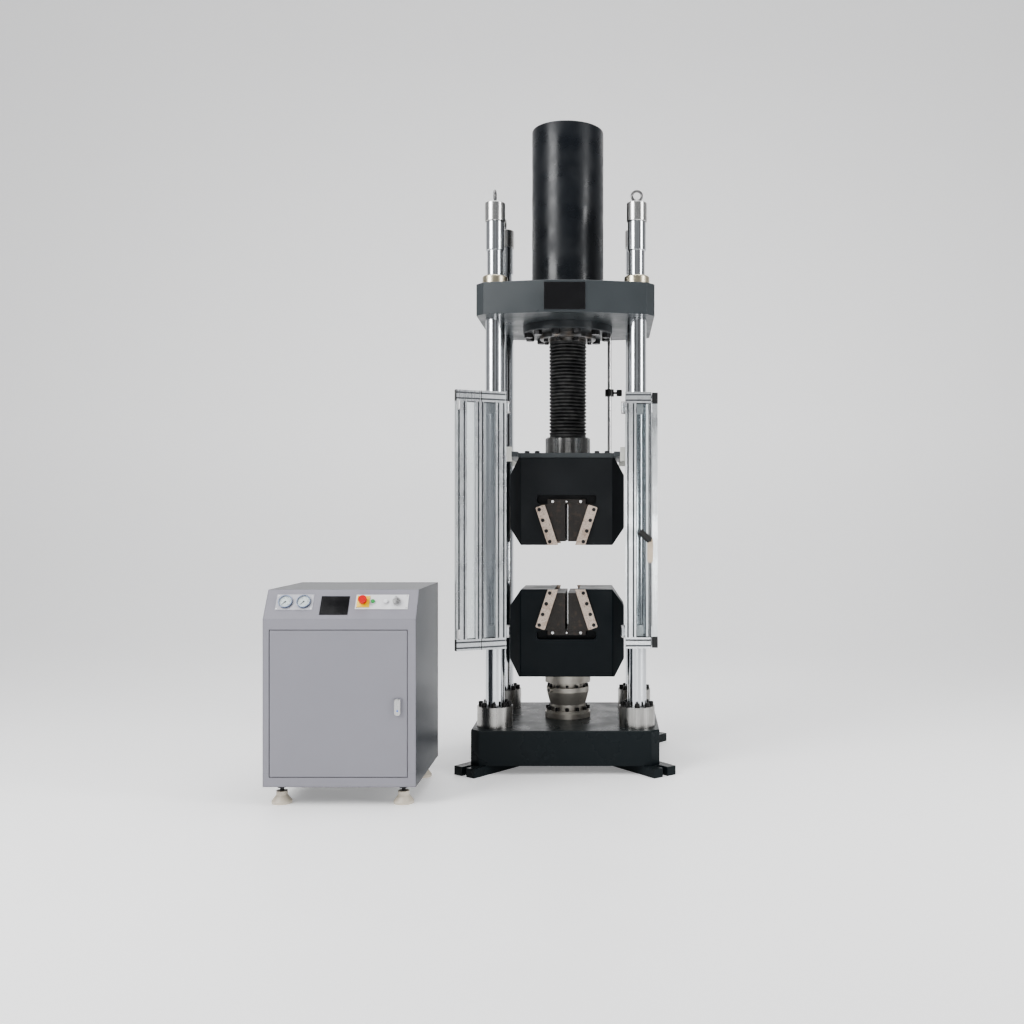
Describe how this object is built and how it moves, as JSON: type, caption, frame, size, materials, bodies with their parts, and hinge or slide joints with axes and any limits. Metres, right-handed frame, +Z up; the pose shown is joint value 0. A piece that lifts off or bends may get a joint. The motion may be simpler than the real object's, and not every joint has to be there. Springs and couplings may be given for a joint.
{
  "type": "hydraulic tensile testing machine",
  "caption": "Free-standing hydraulic tensile testing machine: four-column load frame with top cylinder, wedge grip heads and folding guards, and its oil source cabinet.",
  "frame": {"origin": "on the floor, on the load axis of the four-column frame", "axes": "+X to the right and +Y to the back as seen from the front, +Z up along the load axis"},
  "size_m": [1.6909, 1.3371, 3.021],
  "materials": {
    "dark_paint": "satin",
    "black_paint": "satin",
    "chrome": "polished",
    "turned_steel": "turned",
    "black_oxide": "matte",
    "grey_paint": "satin",
    "plated_brass": "satin",
    "bright_steel": "satin",
    "gloss_black": "gloss",
    "dark_steel": "satin",
    "head_paint": "satin",
    "rail_steel": "ground",
    "light_casting": "satin",
    "blank_black": "satin",
    "cabinet_paint": "satin",
    "foot_plastic": "matte",
    "panel_plate": "satin",
    "gauge_case": "polished",
    "tank_paint": "satin",
    "motor_casting": "satin",
    "pad_plastic": "matte",
    "bellows_rubber": "matte",
    "jaw_steel": "blackened",
    "profile_aluminium": "anodised",
    "clear_window": "clear",
    "grip_black": "matte",
    "handle_chrome": "polished",
    "stop_red": "gloss",
    "button_green": "gloss",
    "button_white": "gloss",
    "pointer_black": "matte"
  },
  "bodies": {
    "root": {"base_plate": "dark_paint", "foot_plates": "black_paint", "columns": "chrome", "column_collars": "turned_steel", "socket_screws": "black_oxide", "crosshead": "grey_paint", "column_lock_rings": "plated_brass", "lifting_eyes": "bright_steel", "cylinder_barrel": "gloss_black", "cylinder_cap": "gloss_black", "cylinder_flange": "black_paint", "flange_bolts": "dark_steel", "rod_gland": "bright_steel", "load_cell_rings": "turned_steel", "load_cell_body": "turned_steel", "lower_head_body": "head_paint", "lower_guide_rails": "rail_steel", "guard_brackets": "light_casting", "blank_plates": "blank_black", "cabinet_shell": "cabinet_paint", "cabinet_feet": "foot_plastic", "control_plates": "panel_plate", "gauges": "gauge_case", "oil_tank": "tank_paint", "pump_motor": "motor_casting", "valve_manifold": "bright_steel", "hose_ports": "bright_steel"},
    "actuator": {"piston_rod": "chrome", "rod_flange": "turned_steel", "upper_head_body": "head_paint", "upper_guide_rails": "rail_steel", "upper_head_screws": "black_oxide", "guide_plate": "grey_paint", "guide_pads": "pad_plastic", "bellows": "bellows_rubber", "limit_rod": "bright_steel"},
    "upper_jaw_left": {"upper_jaw_left": "jaw_steel"},
    "upper_jaw_right": {"upper_jaw_right": "jaw_steel"},
    "upper_carrier": {"upper_jaw_carrier": "jaw_steel"},
    "lower_jaw_left": {"lower_jaw_left": "jaw_steel"},
    "lower_jaw_right": {"lower_jaw_right": "jaw_steel"},
    "lower_carrier": {"lower_jaw_carrier": "jaw_steel"},
    "right_inner_leaf": {"right_inner_frame": "profile_aluminium", "right_inner_window": "clear_window", "guard_handle": "grip_black"},
    "right_outer_leaf": {"right_outer_frame": "profile_aluminium", "right_outer_window": "clear_window"},
    "left_inner_leaf": {"left_inner_frame": "profile_aluminium", "left_inner_window": "clear_window"},
    "left_outer_leaf": {"left_outer_frame": "profile_aluminium", "left_outer_window": "clear_window"},
    "door": {"cabinet_door": "cabinet_paint"},
    "door_lever": {"door_handle": "handle_chrome"},
    "stop_button": {"estop_button": "stop_red"},
    "button_left": {"push_button_left": "button_green"},
    "button_right": {"push_button_right": "button_white"},
    "key": {"key_switch": "handle_chrome"},
    "pointer_left": {"gauge_pointer_left": "pointer_black"},
    "pointer_right": {"gauge_pointer_right": "pointer_black"},
    "collar": {"limit_collar": "black_oxide"}
  },
  "joints": [
    {"name": "head_travel", "type": "slide", "parent": "root", "child": "actuator", "axis": [0, 0, 1], "range_m": [-0.19, 0.145], "deforming": ["bellows"]},
    {"name": "upper_jaw_left_close", "type": "slide", "parent": "actuator", "child": "upper_jaw_left", "axis": [0.3123, 0, -0.95], "range_m": [0, 0.015]},
    {"name": "upper_jaw_right_close", "type": "slide", "parent": "actuator", "child": "upper_jaw_right", "axis": [-0.3123, 0, -0.95], "range_m": [0, 0.015]},
    {"name": "upper_carrier_travel", "type": "slide", "parent": "actuator", "child": "upper_carrier", "axis": [0, 0, -1], "range_m": [0, 0.01426]},
    {"name": "lower_jaw_left_close", "type": "slide", "parent": "root", "child": "lower_jaw_left", "axis": [0.3123, 0, 0.95], "range_m": [0, 0.015]},
    {"name": "lower_jaw_right_close", "type": "slide", "parent": "root", "child": "lower_jaw_right", "axis": [-0.3123, 0, 0.95], "range_m": [0, 0.015]},
    {"name": "lower_carrier_travel", "type": "slide", "parent": "root", "child": "lower_carrier", "axis": [0, 0, 1], "range_m": [0, 0.01426]},
    {"name": "right_guard_swing", "type": "hinge", "parent": "root", "child": "right_inner_leaf", "pos_m": [0.262, -0.3265, 0.565], "axis": [0, 0, -1], "range_deg": [0, 180]},
    {"name": "right_guard_fold", "type": "hinge", "parent": "right_inner_leaf", "child": "right_outer_leaf", "pos_m": [0.3905, -0.309, 0.565], "axis": [0, 0, -1], "range_deg": [0, 90]},
    {"name": "left_guard_swing", "type": "hinge", "parent": "root", "child": "left_inner_leaf", "pos_m": [-0.262, -0.3265, 0.565], "axis": [0, 0, 1], "range_deg": [-25, 155]},
    {"name": "left_guard_fold", "type": "hinge", "parent": "left_inner_leaf", "child": "left_outer_leaf", "pos_m": [-0.38586, -0.36495, 0.565], "axis": [0, 0, -1], "range_deg": [0, 90]},
    {"name": "collar_slide", "type": "slide", "parent": "actuator", "child": "collar", "axis": [0, 0, 1], "range_m": [-0.25, 0.1]},
    {"name": "door_swing", "type": "hinge", "parent": "root", "child": "door", "pos_m": [-1.1595, -0.8845, 0.12], "axis": [0, 0, -1], "range_deg": [0, 110]},
    {"name": "door_lever_lift", "type": "hinge", "parent": "door", "child": "door_lever", "pos_m": [-0.65, -0.8958, 0.4285], "axis": [-1, 0, 0], "range_deg": [0, 40]},
    {"name": "stop_button_press", "type": "slide", "parent": "root", "child": "stop_button", "axis": [0, 0.8421, -0.5393], "range_m": [0, 0.005], "stiffness_N_per_m": 900, "springref_m": -0.004},
    {"name": "left_button_press", "type": "slide", "parent": "root", "child": "button_left", "axis": [0, 0.8421, -0.5393], "range_m": [0, 0.003], "stiffness_N_per_m": 500, "springref_m": -0.003},
    {"name": "right_button_press", "type": "slide", "parent": "root", "child": "button_right", "axis": [0, 0.8421, -0.5393], "range_m": [0, 0.003], "stiffness_N_per_m": 500, "springref_m": -0.003},
    {"name": "key_turn", "type": "hinge", "parent": "root", "child": "key", "pos_m": [-0.6615, -0.84879, 0.8175], "axis": [0, 0.8421, -0.5393], "range_deg": [0, 90]},
    {"name": "left_pointer_turn", "type": "hinge", "parent": "root", "child": "pointer_left", "pos_m": [-1.1115, -0.85211, 0.81844], "axis": [0, 0.8421, -0.5393], "range_deg": [0, 270], "stiffness_Nm_per_rad": 0.002, "springref_deg": -2.86},
    {"name": "right_pointer_turn", "type": "hinge", "parent": "root", "child": "pointer_right", "pos_m": [-1.0375, -0.85211, 0.81844], "axis": [0, 0.8421, -0.5393], "range_deg": [0, 270], "stiffness_Nm_per_rad": 0.002, "springref_deg": -2.86}
  ],
  "couplings": [
    {"joint": "upper_jaw_right_close", "follows": "upper_jaw_left_close", "ratio": 1},
    {"joint": "upper_carrier_travel", "follows": "upper_jaw_left_close", "ratio": 0.94997},
    {"joint": "lower_jaw_right_close", "follows": "lower_jaw_left_close", "ratio": 1},
    {"joint": "lower_carrier_travel", "follows": "lower_jaw_left_close", "ratio": 0.94997}
  ]
}
